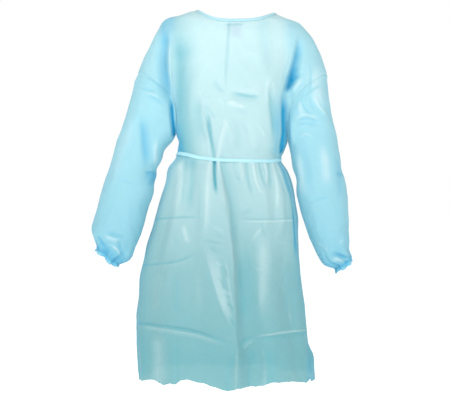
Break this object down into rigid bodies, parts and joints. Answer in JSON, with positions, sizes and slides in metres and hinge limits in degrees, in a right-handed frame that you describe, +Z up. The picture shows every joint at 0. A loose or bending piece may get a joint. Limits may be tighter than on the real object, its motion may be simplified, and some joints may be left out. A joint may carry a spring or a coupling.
{
  "type": "isolation gown",
  "caption": "Long-sleeved protective gown of thin nonwoven cloth, open at the back, with a bound neck, a tied waist belt and elastic wrists, filled out as worn.",
  "frame": {"origin": "middle of the neck opening, level with the shoulder tops at the neck's corners, where the wearer holds the gown up", "axes": "+Z up along the wearer's back, -Y the way the gown's front faces, +X towards the gown's left sleeve"},
  "size_m": [0.8112, 0.374, 1.149],
  "materials": {
    "body_cloth": "thin nonwoven cloth, pale aqua, matt with a faint sheen",
    "sleeve_cloth": "thin nonwoven cloth, light blue, matt with a faint sheen",
    "cuff_cloth": "gathered nonwoven cloth over elastic",
    "strip_cloth": "folded nonwoven strip, pale blue",
    "label_cloth": "smooth blank label"
  },
  "bodies": {
    "root": {"front": "body_cloth", "back_right": "body_cloth", "back_left": "body_cloth", "sleeve_right": "sleeve_cloth", "sleeve_left": "sleeve_cloth", "cuff_right": "cuff_cloth", "cuff_left": "cuff_cloth", "neck_binding": "strip_cloth", "neck_knot": "strip_cloth", "neck_tie_right": "strip_cloth", "neck_tie_left": "strip_cloth", "belt": "strip_cloth", "waist_knot": "strip_cloth", "waist_tie_right": "strip_cloth", "waist_tie_left": "strip_cloth", "size_label": "label_cloth"}
  },
  "joints": []
}
